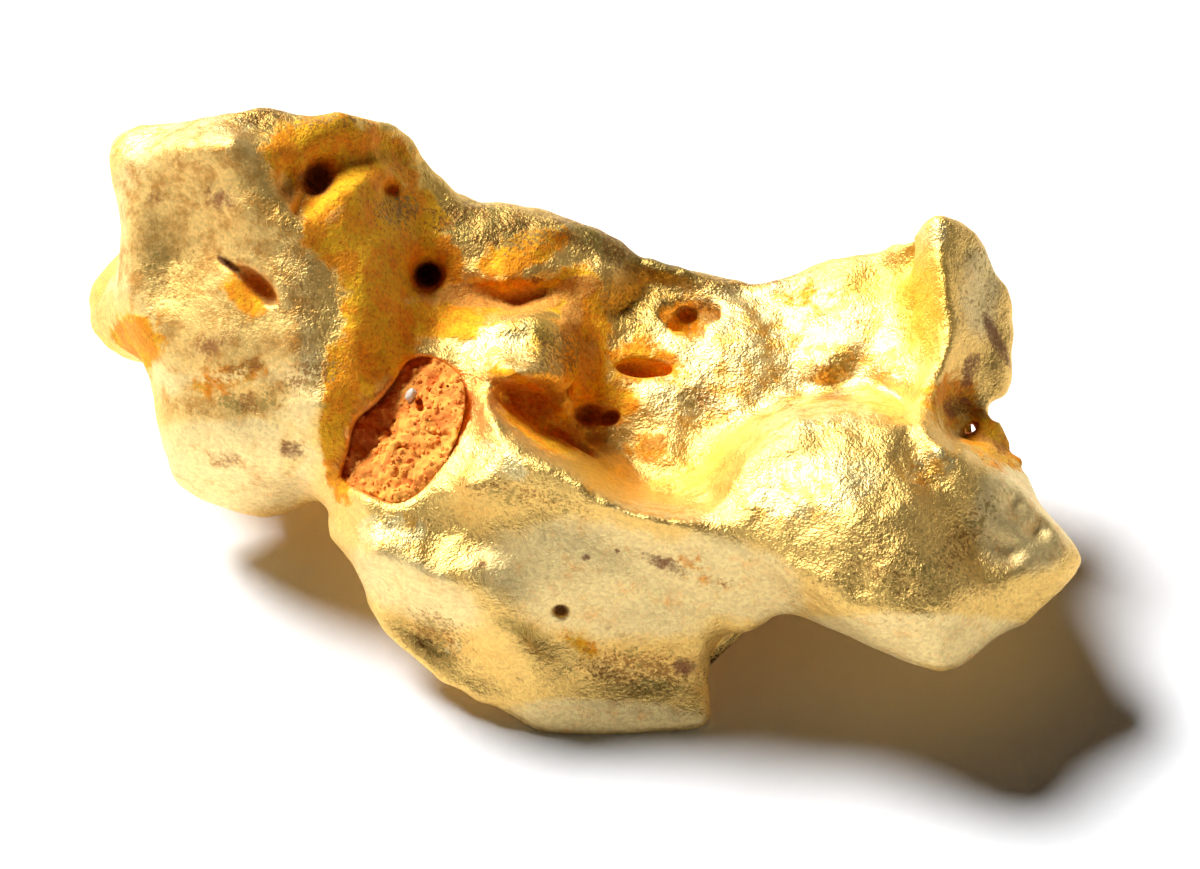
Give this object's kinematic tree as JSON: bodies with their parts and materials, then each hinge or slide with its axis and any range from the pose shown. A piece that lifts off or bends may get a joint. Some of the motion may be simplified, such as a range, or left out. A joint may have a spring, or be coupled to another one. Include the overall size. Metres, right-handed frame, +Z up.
{
  "type": "gold nugget",
  "caption": "Water-worn native gold nugget with a hollowed display side, a lobed back, worn flats to rest on, and a pocket packed with ironstone clay.",
  "frame": {"origin": "middle of the bounding box's bottom, on the surface that the nugget rests on", "axes": "+X along the nugget's length towards the wing, +Z up, -Y the side that the display side leans towards"},
  "size_m": [0.0252, 0.0142, 0.0114],
  "materials": {
    "native_gold": "satin, water-worn, with stained hollows",
    "ironstone_clay": "matt, crumbly"
  },
  "bodies": {
    "root": {"gold_nugget": "native_gold", "clay_plug": "ironstone_clay"}
  },
  "joints": []
}
